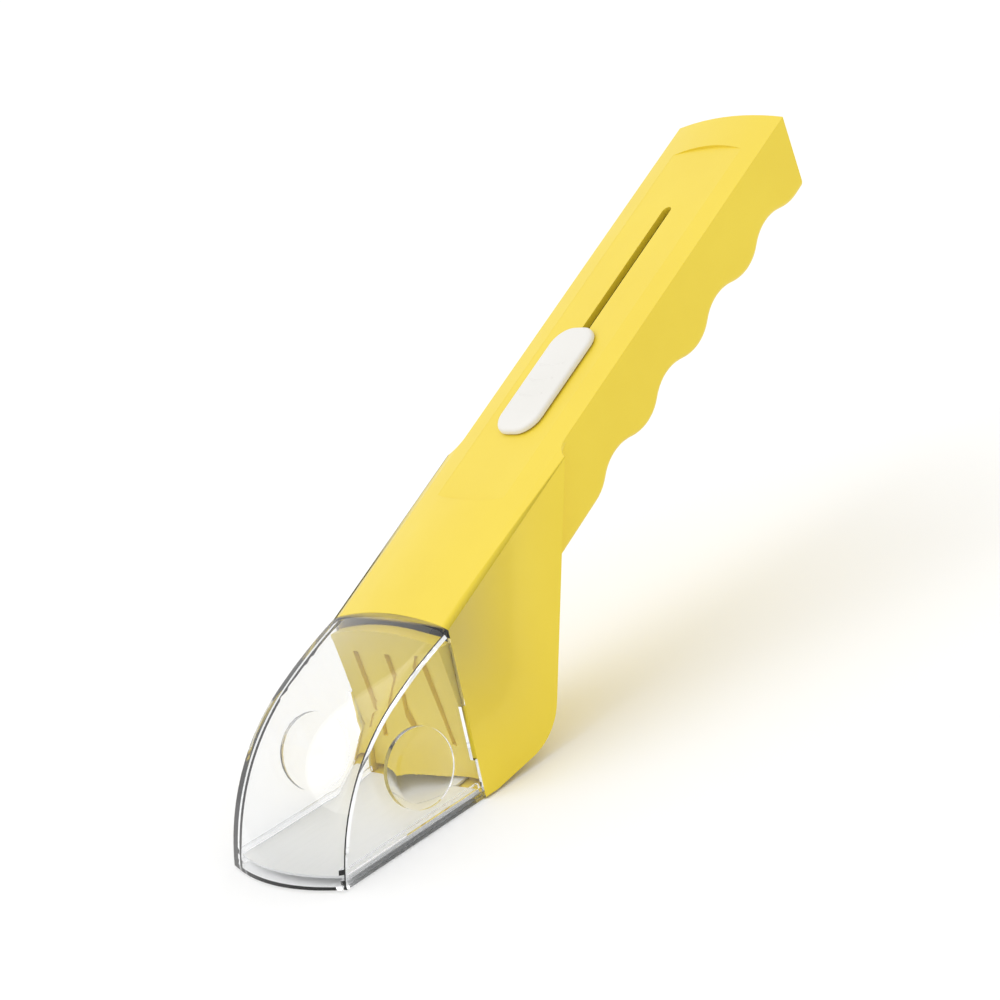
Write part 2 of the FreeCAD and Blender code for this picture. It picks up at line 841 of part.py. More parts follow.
def grip_shell():
    """The grip body with its screw holes, each sunk from below."""
    body = grip_body()
    depth = D["grip_front"] + ABOVE
    drill = Maker(doc, "screw_drill")
    holes = [ring(side, run, D["screw_radius"] + D["fit"]) for _, run, side in screw_spots()]
    drill.pad("XY_Plane", holes, depth, flip=True)
    heads = [ring(side, run, D["screw_head_radius"] + D["fit"]) for _, run, side in screw_spots()]
    drill.pad("XY_Plane", heads, depth, lift=-(D["grip_rear"] - D["screw_sink"]), flip=True)
    in_handle_frame(drill)
    shell = doc.addObject("Part::Cut", "grip_shell")
    shell.Base = body
    shell.Tool = drill.body
    doc.recompute()
    return shell


def cover_section(half, chamfered):
    """Across the top cover: flat below, crowned above."""
    rise = D["crown"] - D["shoulder"]
    reach = HALF_HEAD - D["shoulder_inset"]
    radius = (reach * reach + rise * rise) / (rise * 2)
    if chamfered:
        return [
            ((-half, ZERO), None, 0),
            ((half, ZERO), None, 0),
            ((reach, D["shoulder"]), radius, 1),
            ((-reach, D["shoulder"]), None, 0),
        ]
    drop = radius - root(radius * radius - half * half)
    edge = D["crown"] - drop
    return [
        ((-half, ZERO), None, 0),
        ((half, ZERO), None, 0),
        ((half, edge), radius, 1),
        ((-half, edge), None, 0),
    ]


def top_cover():
    """The crowned cover over head and handle, with its flat land, slot, lips and bosses."""
    maker = Maker(doc, "top_cover")
    step_end = D["head_run"] + D["step_run"]
    maker.pad("XZ_Plane", [cover_section(HALF_HEAD, True)], step_end, flip=True)
    tail = D["handle_run"] + ABOVE - D["head_run"]
    maker.pad(
        "XZ_Plane", [cover_section(HALF_HANDLE, False)], tail, lift=-D["head_run"], flip=True
    )
    lean = cross(H_WAY, JOINT_WAY) / dot(H_WAY, JOINT_WAY)
    front = sharp(
        [
            (ZERO, ZERO),
            (ABOVE / lean, ABOVE),
            (-ABOVE, ABOVE),
            (-ABOVE, -ABOVE),
            (-ABOVE / lean, -ABOVE),
        ]
    )
    upright = H_WAY[1] / H_WAY[0]
    run = D["handle_run"]
    rear = sharp(
        [
            (run - upright * ABOVE, -ABOVE),
            (run + ABOVE * 2, -ABOVE),
            (run + ABOVE * 2, ABOVE),
            (run + upright * ABOVE, ABOVE),
        ]
    )
    maker.pocket("YZ_Plane", [front, rear], D["head_width"] * 2, both=True)
    step = HALF_HEAD - HALF_HANDLE
    blend = (step * step + D["step_run"] * D["step_run"]) / (step * 2)
    wide = HALF_HEAD + 1
    right = [
        ((HALF_HEAD, D["head_run"]), None, 0),
        ((wide, D["head_run"]), None, 0),
        ((wide, step_end), None, 0),
        ((HALF_HANDLE, step_end), blend, 1),
    ]
    left = [
        ((-HALF_HEAD, D["head_run"]), blend, 1),
        ((-HALF_HANDLE, step_end), None, 0),
        ((-wide, step_end), None, 0),
        ((-wide, D["head_run"]), None, 0),
    ]
    maker.pocket("XY_Plane", [right, left], ABOVE, lift=ABOVE / 2)
    half_land = D["land_width"] / 2
    bow = D["land_bow"]
    bow_radius = (half_land * half_land + bow * bow) / (bow * 2)
    land = [
        ((-half_land, D["land_front"]), bow_radius, 1),
        ((half_land, D["land_front"]), None, 0),
        ((half_land, D["land_rear"] - bow), bow_radius, 1),
        ((-half_land, D["land_rear"] - bow), None, 0),
    ]
    maker.pocket("XY_Plane", [land], ABOVE, lift=D["land_height"], flip=True)
    half_slot = D["slot_width"] / 2
    slot_start = D["stem_front"] - half_slot
    slot_end = D["stem_rear"] + D["travel"] + half_slot
    slot = round_box(-half_slot, slot_start, half_slot, slot_end, half_slot * 0.999)
    maker.pocket("XY_Plane", [slot], ABOVE, lift=ABOVE / 2)
    lip_out = INNER_HANDLE - D["fit"]
    lip_in = lip_out - D["lip_width"]
    lip_front = D["front_boss"] + D["boss_radius"] + 1
    lip_rear = D["handle_run"] - D["cavity_depth"]
    lips = [
        box_loop(lip_in, lip_front, lip_out, lip_rear),
        box_loop(-lip_out, lip_front, -lip_in, lip_rear),
    ]
    maker.pad("XY_Plane", lips, D["lip_depth"], flip=True)
    bosses = [ring(side, run_, D["boss_radius"]) for _, run_, side in screw_spots()]
    maker.pad("XY_Plane", bosses, D["cavity_depth"] - D["fit"], flip=True)
    pilots = [ring(side, run_, D["screw_radius"] + D["snug"]) for _, run_, side in screw_spots()]
    maker.pocket("XY_Plane", pilots, D["cavity_depth"], lift=-D["cavity_depth"], flip=True)
    return in_handle_frame(maker)


def vent_plate():
    """The upright tray that closes the head's front, with three air slots."""
    maker = Maker(doc, "vent_plate")
    half = INNER_HEAD - D["fit"]
    back = D["plate_front"] + D["plate_depth"]
    wall = D["plate_wall"]
    crown = D["plate_crown"]
    radius = (half * half + crown * crown) / (crown * 2)

    def crowned(side, low, high, bend):
        return [
            ((-side, low), None, 0),
            ((side, low), None, 0),
            ((side, high), bend, 1),
            ((-side, high), None, 0),
        ]

    outline = crowned(half, D["plate_low"], D["plate_high"], radius)
    maker.pad("XZ_Plane", [outline], D["plate_depth"], lift=-back)
    inside = crowned(half - wall, D["plate_low"] + wall, D["plate_high"] - wall, radius)
    maker.pocket("XZ_Plane", [inside], D["plate_depth"] - wall, lift=-back, flip=True)
    vents = []
    half_vent = D["vent_width"] / 2
    for i in (-1, 0, 1):
        x = D["vent_pitch"] * i
        vents.append(box_loop(x - half_vent, D["vent_low"], x + half_vent, D["vent_high"]))
    maker.pocket("XZ_Plane", vents, D["plate_depth"] * 2, both=True)
    return maker.body


def inner_guide():
    """The curved plate inside the bend that keeps the door against the back wall."""
    maker = Maker(doc, "inner_guide")
    gap = HALF_DOOR + D["guide_gap"]
    path = [PATH_START, PATH_HEEL, PATH_TURN]
    low = beside(path, gap)
    high = beside(path, gap + D["guide_wall"])
    top = PATH_TURN[1] - ABOVE * 1.5
    start = D["plate_front"] + D["plate_depth"] + D["fit"]
    outline = corners(
        [low[0], low[1], low[2], high[2], high[1], high[0]],
        [None, HEEL_BEND - gap, None, None, HEEL_BEND - gap - D["guide_wall"], None],
    )
    maker.pad("YZ_Plane", [outline], (INNER_HEAD - D["fit"]) * 2, both=True)
    front_cut = box_loop(-ABOVE, -ABOVE, start, ABOVE * 3)
    top_cut = box_loop(-ABOVE, top, D["handle_run"], D["joint_height"] * 3)
    maker.pocket("YZ_Plane", [front_cut], D["head_width"] * 2, both=True)
    maker.pocket("YZ_Plane", [top_cut], D["head_width"] * 2, both=True)
    return maker.body


# ---------------------------------------------------------------- door


def door_panel():
    """The flat door over the mouth, its front edge bowed like the visor."""
    maker = Maker(doc, "door_panel")
    half = INNER_HEAD - D["fit"]
    front = -D["mouth_length"] + D["visor_wall"] + D["fit"] * 3
    bow = D["mouth_bow"] - D["shoulder"]
    radius = (half * half + bow * bow) / (bow * 2)
    plan = [
        ((-half, front), radius, 1),
        ((half, front), None, 0),
        ((half, -D["fit"]), None, 0),
        ((-half, -D["fit"]), None, 0),
    ]
    maker.pad("XY_Plane", [plan], D["door_thick"], lift=D["door_level"] - HALF_DOOR)
    return maker.body


def door_bend():
    """The part of the door that follows the guides through the head."""
    maker = Maker(doc, "door_bend")
    maker.pad("YZ_Plane", [guide_band(-HALF_DOOR, HALF_DOOR)], D["strip_width"], both=True)
    return maker.body


def door_tail():
    """The flat end of the door inside the handle, clamped under the carriage."""
    maker = Maker(doc, "door_tail")
    half = D["strip_width"] / 2
    plan = box_loop(-half, STRIP_ENTRY + D["fit"], half, D["carriage_rear"] - D["fit"])
    hole = D["clamp_screw_radius"] + D["snug"]
    middle = (D["clamp_front"] + D["clamp_rear"]) / 2
    holes = [ring(D["clamp_screw_side"] * s, middle, hole) for s in (-1, 1)]
    maker.pad(
        "XY_Plane", [plan] + holes, D["door_thick"], lift=-(D["strip_depth"] + HALF_DOOR)
    )
    return in_handle_frame(maker)


# ---------------------------------------------------------------- slider


def carriage():
    """The slider's plate on the tracks, with the stem through the slot and the clamp pad below."""
    maker = Maker(doc, "carriage")
    half = D["carriage_width"] / 2
    low = -(D["carriage_top"] + D["carriage_wall"])
    plate = box_loop(-half, D["carriage_front"], half, D["carriage_rear"])
    maker.pad("XY_Plane", [plate], D["carriage_wall"], lift=low)
    half_stem = D["slot_width"] / 2 - D["fit"]
    stem = box_loop(-half_stem, D["stem_front"], half_stem, D["stem_rear"])
    socket = D["land_height"] + D["fit"] + D["button_height"] / 2
    maker.pad("XY_Plane", [stem], D["carriage_top"] + socket, lift=-D["carriage_top"])
    half_clamp = D["clamp_width"] / 2
    clamp = box_loop(-half_clamp, D["clamp_front"], half_clamp, D["clamp_rear"])
    pad_depth = D["strip_depth"] - HALF_DOOR + low
    maker.pad("XY_Plane", [clamp], pad_depth, lift=low, flip=True)
    middle = (D["clamp_front"] + D["clamp_rear"]) / 2
    pilot = D["clamp_screw_radius"] + D["snug"]
    pilots = [ring(D["clamp_screw_side"] * s, middle, pilot) for s in (-1, 1)]
    maker.pocket("XY_Plane", pilots, ABOVE, lift=-D["carriage_top"] - ABOVE, flip=True)
    return in_handle_frame(maker)


def thumb_button():
    """The pill-shaped thumb button over the slot, socketed on the stem."""
    maker = Maker(doc, "thumb_button")
    half = D["button_width"] / 2
    front = D["button_front"]
    outline = round_box(-half, front, half, front + D["button_length"], D["button_corner"])
    base = D["land_height"] + D["fit"]
    maker.pad("XY_Plane", [outline], D["button_height"], lift=base)
    top = (base + D["button_height"]).value

    def top_edge(edge):
        return abs(edge.BoundBox.ZMin - top) < 1e-4 and abs(edge.BoundBox.ZMax - top) < 1e-4

    maker.dress("Fillet", top_edge, D["button_height"] * 0.45)
    grip = D["slot_width"] / 2 - D["fit"] + D["snug"]
    socket = box_loop(
        -grip, D["stem_front"] - D["snug"], grip, D["stem_rear"] + D["snug"]
    )
    depth = D["button_height"] / 2 + D["snug"]
    maker.pocket("XY_Plane", [socket], depth, lift=base, flip=True)
    return in_handle_frame(maker)


def strip_clamp():
    """The plate that clamps the door's tail against the carriage."""
    maker = Maker(doc, "strip_clamp")
    half = D["clamp_width"] / 2
    middle = (D["clamp_front"] + D["clamp_rear"]) / 2
    plate = box_loop(-half, D["clamp_front"], half, D["clamp_rear"])
    hole = D["clamp_screw_radius"] + D["snug"]
    holes = [ring(D["clamp_screw_side"] * s, middle, hole) for s in (-1, 1)]
    low = -(D["strip_depth"] + HALF_DOOR + D["clamp_wall"])
    maker.pad("XY_Plane", [plate] + holes, D["clamp_wall"], lift=low)
    return in_handle_frame(maker)


def clamp_screw(name, side):
    """A small screw up through the clamp and the door's tail into the carriage."""
    maker = Maker(doc, name)
    radius = D["clamp_screw_radius"]
    head = radius * 2
    cap = radius
    length = D["clamp_wall"] + D["strip_depth"] + HALF_DOOR - D["carriage_top"]
    maker.revolve(
        sharp(
            [
                (ZERO, -cap),
                (head, -cap),
                (head, ZERO),
                (radius, ZERO),
                (radius, length),
                (ZERO, length),
            ]
        )
    )
    middle = (D["clamp_front"] + D["clamp_rear"]) / 2
    low = -(D["strip_depth"] + HALF_DOOR + D["clamp_wall"])
    return in_handle_frame(maker, middle, D["clamp_screw_side"] * side, low)


def detent_spring():
    """The bowed leaf on the carriage that rubs the cover and holds the slider where it is left."""
    maker = Maker(doc, "detent_spring")
    half = D["leaf_span"] / 2
    thick = D["leaf_thick"]
    middle = (D["clamp_front"] + D["clamp_rear"]) / 2
    low = -D["carriage_top"]
    rise = D["carriage_top"] - D["fit"] - thick
    inner = (half * half + rise * rise) / (rise * 2)
    centre_z = low + rise - inner
    outer = inner + thick
    ways = half / inner
    tip = (middle + half + thick * ways, low + thick * (low - centre_z) / inner)
    back = (middle - half - thick * ways, tip[1])
    loop = [
        ((middle + half, low), None, 0),
        (tip, outer, 1),
        (back, None, 0),
        ((middle - half, low), inner, -1),
    ]
    maker.pad("YZ_Plane", [loop], D["leaf_width"], both=True)
    return in_handle_frame(maker)


def track(name, side):
    """A rail along the handle's side wall, standing on its floor, that carries the carriage."""
    maker = Maker(doc, name)
    outer = INNER_HANDLE - D["fit"]
    inner = outer - D["track_width"]
    floor = -(D["cavity_depth"] - D["fit"])
    top = -(D["carriage_top"] + D["carriage_wall"] + D["fit"])
    if side > 0:
        loop = box_loop(inner, floor, outer, top)
    else:
        loop = box_loop(-outer, floor, -inner, top)
    length = D["track_rear"] - D["track_front"]
    maker.pad("XZ_Plane", [loop], length, lift=-D["track_front"], flip=True)
    return in_handle_frame(maker)


def cover_screw(name, run, side):
    """A self-tapping screw, sunk into the grip from below and driven into the cover's boss."""
    maker = Maker(doc, name)
    head = D["screw_head_radius"]
    shank = D["screw_radius"]
    seat = D["grip_rear"] - D["screw_sink"]
    length = seat - D["shell_wall"] * 1.5
    maker.revolve(
        sharp(
            [
                (ZERO, -D["screw_head"]),
                (head, -D["screw_head"]),
                (head, ZERO),
                (shank, ZERO),
                (shank, length),
                (ZERO, length + shank),
            ]
        )
    )
    return in_handle_frame(maker, run, side, -seat)


# ---------------------------------------------------------------- build


def build():
    nodes = [
        chamber(),
        lens("lens_right", 1),
        lens("lens_left", -1),
        grip_shell(),
        top_cover(),
        vent_plate(),
        inner_guide(),
        door_panel(),
        door_bend(),
        door_tail(),
        carriage(),
        thumb_button(),
        strip_clamp(),
        clamp_screw("clamp_screw_left", -1),
        clamp_screw("clamp_screw_right", 1),
        detent_spring(),
        track("track_left", -1),
        track("track_right", 1),
    ]
    for where, run, side in screw_spots():
        nodes.append(cover_screw("cover_screw_" + where, run, side))
    return nodes


def check_cuts():
    """A pocket that removes nothing means that it points away from the solid."""
    for item in doc.Objects:
        if item.TypeId == "PartDesign::Pocket":
            before = item.BaseFeature.Shape.Volume
            if before - item.Shape.Volume < 0.05:
                raise RuntimeError("%s cuts nothing" % item.Name)


def check_and_write(nodes):
    doc.recompute()
    for item in doc.Objects:
        if "Invalid" in item.State or "Error" in item.State:
            raise RuntimeError("%s: %s" % (item.Name, item.State))
    check_cuts()
    os.makedirs("parts", exist_ok=True)
    for node in nodes:
        shape = node.Shape
        if shape.isNull() or not shape.isValid() or not shape.Solids:
            raise RuntimeError("%s has no sound solid" % node.Label)
        shape.exportStep(os.path.join("parts", node.Label + ".step"))
        print("%-24s %d solid %9.1f mm3" % (node.Label, len(shape.Solids), shape.Volume))


check_and_write(build())
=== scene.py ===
"""Handheld insect catcher: clear chamber, yellow grip, off-white thumb slider, pale sliding door."""

import json
import math

import bmesh
import bpy
from mathutils import Matrix, Vector


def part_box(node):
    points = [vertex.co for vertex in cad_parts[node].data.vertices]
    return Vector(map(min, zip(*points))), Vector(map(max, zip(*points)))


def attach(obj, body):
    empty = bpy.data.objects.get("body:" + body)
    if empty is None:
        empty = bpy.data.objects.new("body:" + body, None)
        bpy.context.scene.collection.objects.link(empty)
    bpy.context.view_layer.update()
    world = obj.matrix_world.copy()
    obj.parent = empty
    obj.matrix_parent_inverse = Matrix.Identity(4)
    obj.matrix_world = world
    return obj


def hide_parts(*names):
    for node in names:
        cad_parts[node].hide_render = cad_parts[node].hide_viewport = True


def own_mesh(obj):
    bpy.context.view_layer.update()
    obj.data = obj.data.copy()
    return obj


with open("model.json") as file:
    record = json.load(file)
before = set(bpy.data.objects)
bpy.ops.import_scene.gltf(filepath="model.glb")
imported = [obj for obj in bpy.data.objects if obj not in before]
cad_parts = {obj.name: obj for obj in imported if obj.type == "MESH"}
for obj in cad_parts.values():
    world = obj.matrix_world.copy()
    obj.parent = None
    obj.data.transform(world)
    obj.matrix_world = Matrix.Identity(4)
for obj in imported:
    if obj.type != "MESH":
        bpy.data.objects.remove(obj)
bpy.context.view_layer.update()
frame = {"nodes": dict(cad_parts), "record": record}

MM = 0.001
HANDLE_ANGLE = math.radians(24.6)
HEAD_TOP = Vector((0.0, 5.7, 40.1))
HANDLE_PLACE = Matrix.Translation(HEAD_TOP * MM) @ Matrix.Rotation(HANDLE_ANGLE, 4, "X")


# ---------------------------------------------------------------- materials


class Finish:
    """A node material that is built up one node at a time."""

    def __init__(self, name):
        self.material = bpy.data.materials.new(name)
        self.material.use_nodes = True
        self.tree = self.material.node_tree
        self.tree.nodes.clear()
        self.output = self.tree.nodes.new("ShaderNodeOutputMaterial")
        self.shader = self.tree.nodes.new("ShaderNodeBsdfPrincipled")
        self.tree.links.new(self.shader.outputs["BSDF"], self.output.inputs["Surface"])
        self.place = self.tree.nodes.new("ShaderNodeTexCoord").outputs["Object"]

    def link(self, a, b):
        self.tree.links.new(a, b)

    def set(self, **values):
        for name, value in values.items():
            self.shader.inputs[name.replace("_", " ")].default_value = value

    def noise(self, scale, detail=2.0, roughness=0.5, stretch=None):
        node = self.tree.nodes.new("ShaderNodeTexNoise")
        node.inputs["Scale"].default_value = scale
        node.inputs["Detail"].default_value = detail
        node.inputs["Roughness"].default_value = roughness
        source = self.place
        if stretch is not None:
            mapping = self.tree.nodes.new("ShaderNodeMapping")
            mapping.inputs["Scale"].default_value = stretch
            self.link(source, mapping.inputs["Vector"])
            source = mapping.outputs["Vector"]
        self.link(source, node.inputs["Vector"])
        return node.outputs["Fac"]

    def spread(self, source, low, high, start=0.3, stop=0.7):
        node = self.tree.nodes.new("ShaderNodeMapRange")
        node.inputs["From Min"].default_value = start
        node.inputs["From Max"].default_value = stop
        node.inputs["To Min"].default_value = low
        node.inputs["To Max"].default_value = high
        self.link(source, node.inputs["Value"])
        return node.outputs["Result"]

    def blend_colours(self, source, first, second, start=0.3, stop=0.7):
        node = self.tree.nodes.new("ShaderNodeValToRGB")
        node.color_ramp.elements[0].position = start
        node.color_ramp.elements[0].color = first
        node.color_ramp.elements[1].position = stop
        node.color_ramp.elements[1].color = second
        self.link(source, node.inputs["Fac"])
        return node.outputs["Color"]

    def bump(self, source, strength, distance, normal=None):
        node = self.tree.nodes.new("ShaderNodeBump")
        node.inputs["Strength"].default_value = strength
        node.inputs["Distance"].default_value = distance
        self.link(source, node.inputs["Height"])
        if normal is not None:
            self.link(normal, node.inputs["Normal"])
        return node.outputs["Normal"]

    def let_light_through(self, tint):
        """Lamps shine straight through, so that what is inside is lit as it is behind a real pane."""
        path = self.tree.nodes.new("ShaderNodeLightPath")
        straight = self.tree.nodes.new("ShaderNodeBsdfTransparent")
        straight.inputs["Color"].default_value = tint
        choice = self.tree.nodes.new("ShaderNodeMixShader")
        self.link(path.outputs["Is Shadow Ray"], choice.inputs["Fac"])
        self.link(self.shader.outputs["BSDF"], choice.inputs[1])
        self.link(straight.outputs["BSDF"], choice.inputs[2])
        self.link(choice.outputs["Shader"], self.output.inputs["Surface"])


def satin_plastic(name, light, dark, roughness):
    """Moulded plastic: faint spark texture, slightly uneven shade and gloss."""
    finish = Finish(name)
    shade = finish.noise(38.0, 3.0, 0.55)
    finish.link(finish.blend_colours(shade, dark, light), finish.shader.inputs["Base Color"])
    worn = finish.noise(120.0, 4.0, 0.6)
    finish.link(
        finish.spread(worn, roughness - 0.04, roughness + 0.05), finish.shader.inputs["Roughness"]
    )
    spark = finish.noise(2600.0, 2.0, 0.5)
    finish.link(finish.bump(spark, 0.06, 0.00004), finish.shader.inputs["Normal"])
    finish.set(IOR=1.49, Sheen_Weight=0.18, Sheen_Roughness=0.45)
    return finish.material


def clear_plastic(name, tint, roughness):
    """Polished clear plastic with a barely uneven surface."""
    finish = Finish(name)
    haze = finish.noise(60.0, 2.0, 0.5)
    finish.link(finish.spread(haze, roughness * 0.6, roughness * 1.4), finish.shader.inputs["Roughness"])
    ripple = finish.noise(55.0, 1.0, 0.4)
    finish.link(finish.bump(ripple, 0.015, 0.0002), finish.shader.inputs["Normal"])
    finish.set(IOR=1.49, Transmission_Weight=1.0, Base_Color=tint)
    finish.let_light_through(tint)
    return finish.material


def door_plastic(name):
    """Thin pale grey sheet with fine lengthwise drawing lines."""
    finish = Finish(name)
    lines = finish.noise(90.0, 3.0, 0.6, (30.0, 1.0, 30.0))
    finish.link(
        finish.blend_colours(lines, (0.79, 0.80, 0.80, 1.0), (0.85, 0.855, 0.855, 1.0)),
        finish.shader.inputs["Base Color"],
    )
    finish.link(finish.spread(lines, 0.30, 0.40), finish.shader.inputs["Roughness"])
    finish.link(finish.bump(lines, 0.04, 0.00005), finish.shader.inputs["Normal"])
    finish.set(IOR=1.49)
    return finish.material


def plated_steel(name):
    """Bright zinc with turned marks."""
    finish = Finish(name)
    marks = finish.noise(1500.0, 3.0, 0.6)
    finish.link(
        finish.blend_colours(marks, (0.48, 0.49, 0.51, 1.0), (0.66, 0.67, 0.69, 1.0)),
        finish.shader.inputs["Base Color"],
    )
    finish.link(finish.spread(marks, 0.24, 0.38), finish.shader.inputs["Roughness"])
    finish.link(finish.bump(marks, 0.1, 0.00005), finish.shader.inputs["Normal"])
    finish.set(Metallic=1.0)
    return finish.material


yellow = satin_plastic(
    "yellow moulding", (0.850, 0.655, 0.036, 1.0), (0.825, 0.625, 0.030, 1.0), 0.36
)
white = satin_plastic(
    "off-white moulding", (0.80, 0.785, 0.75, 1.0), (0.775, 0.76, 0.72, 1.0), 0.36
)
# Painted shade: the inner runner parts are made black so that the vent slots and the door slit read as dark
# shade behind the clear chamber.
slot_shade_black = satin_plastic("black runner", (0.020, 0.020, 0.021, 1.0), (0.014, 0.014, 0.015, 1.0), 0.45)
clear = clear_plastic("clear moulding", (0.985, 0.99, 0.995, 1.0), 0.012)
sheet = door_plastic("door sheet")
steel = plated_steel("plated screw")


# ---------------------------------------------------------------- pieces


def finish_mesh(mesh, sharp_degrees):
    """Smooth shading with crisp edges where faces turn more than sharp_degrees."""
    work = bmesh.new()
    work.from_mesh(mesh)
    for face in work.faces:
        face.smooth = True
    limit = math.radians(sharp_degrees)
    for edge in work.edges:
        edge.smooth = len(edge.link_faces) != 2 or edge.calc_face_angle(0.0) < limit
    work.to_mesh(mesh)
    work.free()


def adopt(name, mesh, material, body, slot, *nodes):
    """Adds a finished mesh as a piece that stands for CAD nodes."""
    mesh.materials.clear()
    mesh.materials.append(material)
    piece = bpy.data.objects.new(name, mesh)
    bpy.context.scene.collection.objects.link(piece)
    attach(piece, body)
    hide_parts(*nodes)
    return piece


def merged(node):
    """A CAD node's mesh with its loose triangles joined into flat faces."""
    mesh = frame["nodes"][node].data.copy()
    mesh.materials.clear()
    work = bmesh.new()
    work.from_mesh(mesh)
    bmesh.ops.remove_doubles(work, verts=work.verts[:], dist=2e-6)
    bmesh.ops.dissolve_limit(
        work, angle_limit=0.004, verts=work.verts[:], edges=work.edges[:], use_dissolve_boundaries=False
    )
    work.to_mesh(mesh)
    work.free()
    return mesh


def joined(meshes, name):
    """One closed skin round several touching or overlapping mouldings."""
    holder = bpy.data.objects.new(name + "_work", meshes[0])
    bpy.context.scene.collection.objects.link(holder)
    others = []
    for index, mesh in enumerate(meshes[1:]):
        other = bpy.data.objects.new("%s_other_%d" % (name, index), mesh)
        bpy.context.scene.collection.objects.link(other)
        others.append(other)
        union = holder.modifiers.new("union_%d" % index, "BOOLEAN")
        union.operation = "UNION"
        union.solver = "EXACT"
        union.object = other
    bpy.context.view_layer.update()
    result = bpy.data.meshes.new_from_object(
        holder.evaluated_get(bpy.context.evaluated_depsgraph_get())
    )
    for thing in [holder] + others:
        bpy.data.objects.remove(thing)
    return result


def rounded(mesh, width, sharp_degrees, segments=3):
    """Merges coplanar faces, rounds every edge sharper than sharp_degrees and shades smoothly."""
    work = bmesh.new()
    work.from_mesh(mesh)
    bmesh.ops.remove_doubles(work, verts=work.verts[:], dist=4e-6)
    bmesh.ops.dissolve_limit(
        work, angle_limit=0.006, verts=work.verts[:], edges=work.edges[:], use_dissolve_boundaries=False
    )
    work.to_mesh(mesh)
    work.free()
    finish_mesh(mesh, 180.0)
    holder = bpy.data.objects.new("rounding_work", mesh)
    bpy.context.scene.collection.objects.link(holder)
    bevel = holder.modifiers.new("rounding", "BEVEL")
    bevel.width = width
    bevel.segments = segments
    bevel.limit_method = "ANGLE"
    bevel.angle_limit = math.radians(sharp_degrees)
    bevel.use_clamp_overlap = True
    even = holder.modifiers.new("even_normals", "WEIGHTED_NORMAL")
    even.weight = 80
    bpy.context.view_layer.update()
    result = bpy.data.meshes.new_from_object(
        holder.evaluated_get(bpy.context.evaluated_depsgraph_get())
    )
    bpy.data.objects.remove(holder)
    return result


def grown_lens(node):
    """The lens a hair wider, so that it runs into the wall round it without a gap."""
    mesh = merged(node)
    low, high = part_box(node)
    middle = (Vector(low) + Vector(high)) / 2
    for vertex in mesh.vertices:
        reach = vertex.co - middle
        reach.x = 0.0
        vertex.co += reach.normalized() * 0.00012 if reach.length > 0.009 else Vector()
    return mesh


class Growth:
    """A Geometry Nodes tree for what repeats, built in millimetres in the handle's own frame."""

    def __init__(self, name, sizes):
        self.tree = bpy.data.node_groups.new(name, "GeometryNodeTree")
        sockets = self.tree.interface
        sockets.new_socket(name="Geometry", in_out="OUTPUT", socket_type="NodeSocketGeometry")
        sockets.new_socket(name="Geometry", in_out="INPUT", socket_type="NodeSocketGeometry")
        self.sizes = sizes
        self.keys = {}
        for label in sizes:
            socket = sockets.new_socket(name=label, in_out="INPUT", socket_type="NodeSocketFloat")
            self.keys[label] = socket.identifier
        self.given = self.tree.nodes.new("NodeGroupInput").outputs
        self.output = self.tree.nodes.new("NodeGroupOutput")

    def node(self, kind, inputs=(), **settings):
        """Adds a node; an input is a number, a vector or another node's output."""
        node = self.tree.nodes.new(kind)
        for name, value in settings.items():
            setattr(node, name, value)
        for key, value in inputs:
            if isinstance(value, bpy.types.NodeSocket):
                self.tree.links.new(value, node.inputs[key])
            else:
                node.inputs[key].default_value = value
        return node

    def times(self, socket, factor):
        """A size multiplied by a plain number."""
        return self.node("ShaderNodeMath", [(0, socket), (1, factor)], operation="MULTIPLY").outputs[0]

    def vector(self, x=0.0, y=0.0, z=0.0):
        """A vector of numbers and sizes."""
        return self.node("ShaderNodeCombineXYZ", [(0, x), (1, y), (2, z)]).outputs[0]

    def joined(self, *geometries):
        """Several geometries as one."""
        node = self.tree.nodes.new("GeometryNodeJoinGeometry")
        for geometry in geometries:
            self.tree.links.new(geometry, node.inputs[0])
        return node.outputs[0]

    def close(self, geometry, material):
        """Realises the instances and gives them their material."""
        real = self.node("GeometryNodeRealizeInstances", [(0, geometry)]).outputs[0]
        node = self.node("GeometryNodeSetMaterial", [("Geometry", real), ("Material", material)])
        self.tree.links.new(node.outputs[0], self.output.inputs[0])

    def mesh(self, start):
        """Runs the tree on a starting mesh and gives the result as a plain mesh in the row frame."""
        holder = bpy.data.objects.new(self.tree.name + "_work", start)
        bpy.context.scene.collection.objects.link(holder)
        modifier = holder.modifiers.new(self.tree.name, "NODES")
        modifier.node_group = self.tree
        for label, value in self.sizes.items():
            modifier[self.keys[label]] = value
        bpy.context.view_layer.update()
        result = bpy.data.meshes.new_from_object(
            holder.evaluated_get(bpy.context.evaluated_depsgraph_get())
        )
        bpy.data.objects.remove(holder)
        result.transform(HANDLE_PLACE @ Matrix.Scale(MM, 4))
        return result


